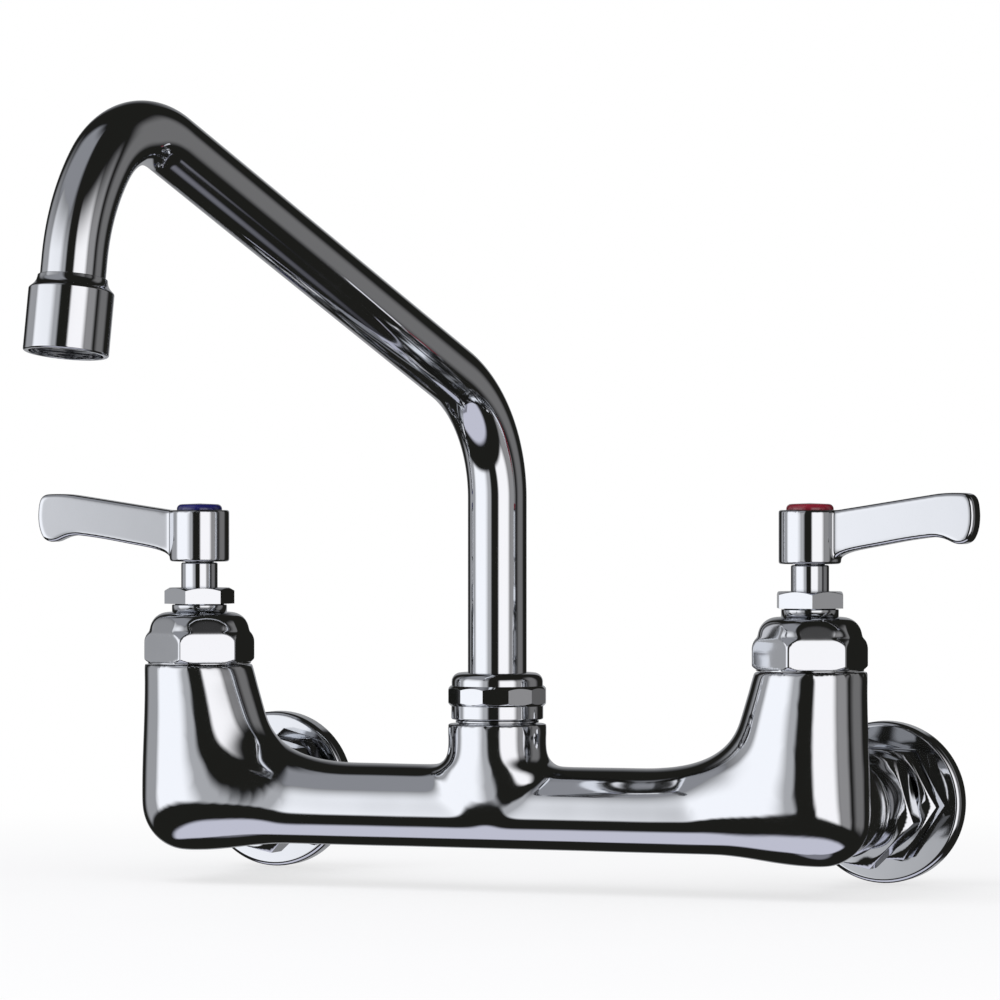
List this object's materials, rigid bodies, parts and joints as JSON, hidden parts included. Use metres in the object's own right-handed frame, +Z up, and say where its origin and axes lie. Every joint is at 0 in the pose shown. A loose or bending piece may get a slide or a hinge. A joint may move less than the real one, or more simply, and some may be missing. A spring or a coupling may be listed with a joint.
{
  "type": "wall faucet",
  "caption": "Wall-mounted commercial sink faucet: cast bridge body with inlets at the back, quarter-turn lever valves and a swinging tube spout with a turned nozzle.",
  "frame": {"origin": "on the wall face, midway between the two inlets, level with their axes", "axes": "+X along the wall to the right of someone standing at the sink, +Y into the wall, +Z up"},
  "size_m": [0.3112, 0.2811, 0.2335],
  "materials": {
    "chrome_plate": "brass, polished and chrome plated, mirror bright",
    "raw_brass": "turned brass, unplated",
    "steel_screw": "stainless screw",
    "ceramic": "lapped alumina disc",
    "black_rubber": "moulded nitrile rubber",
    "nylon": "moulded nylon or PTFE, off-white",
    "fibre_seal": "pressed fibre washer",
    "cold_index": "dark blue gloss, cold side",
    "hot_index": "dark red gloss, hot side"
  },
  "bodies": {
    "root": {"faucet_body": "chrome_plate", "bonnet_gasket_left": "fibre_seal", "bonnet_gasket_right": "fibre_seal", "bonnet_left": "chrome_plate", "bonnet_right": "chrome_plate", "packing_ring_left": "nylon", "packing_ring_right": "nylon", "packing_nut_left": "chrome_plate", "packing_nut_right": "chrome_plate", "seat_seal_left": "black_rubber", "seat_seal_right": "black_rubber", "fixed_disc_left": "ceramic", "fixed_disc_right": "ceramic", "inlet_washer_left": "fibre_seal", "inlet_washer_right": "fibre_seal", "union_nut_left": "chrome_plate", "union_nut_right": "chrome_plate", "inlet_coupling_left": "chrome_plate", "inlet_coupling_right": "chrome_plate", "wall_flange_left": "chrome_plate", "wall_flange_right": "chrome_plate", "spout_adapter": "chrome_plate", "spout_nut": "chrome_plate", "swivel_ring": "nylon"},
    "spout": {"spout_tube": "chrome_plate", "spout_ferrule": "raw_brass", "spout_oring_lower": "black_rubber", "spout_oring_upper": "black_rubber", "outlet_nozzle": "chrome_plate", "aerator_insert": "nylon", "aerator_washer": "black_rubber"},
    "left_handle": {"lever_left": "chrome_plate", "handle_screw_left": "steel_screw", "index_button_left": "cold_index", "stem_left": "chrome_plate", "stem_oring_left": "black_rubber", "moving_disc_left": "ceramic"},
    "right_handle": {"lever_right": "chrome_plate", "handle_screw_right": "steel_screw", "index_button_right": "hot_index", "stem_right": "chrome_plate", "stem_oring_right": "black_rubber", "moving_disc_right": "ceramic"}
  },
  "joints": [
    {"name": "spout_swivel", "type": "hinge", "parent": "root", "child": "spout", "pos_m": [0, -0.073, 0.037], "axis": [0, 0, 1], "range_deg": [-75, 105]},
    {"name": "left_valve", "type": "hinge", "parent": "root", "child": "left_handle", "pos_m": [-0.1016, -0.073, 0.076], "axis": [0, 0, 1], "range_deg": [0, 90]},
    {"name": "right_valve", "type": "hinge", "parent": "root", "child": "right_handle", "pos_m": [0.1016, -0.073, 0.076], "axis": [0, 0, 1], "range_deg": [-90, 0]}
  ]
}
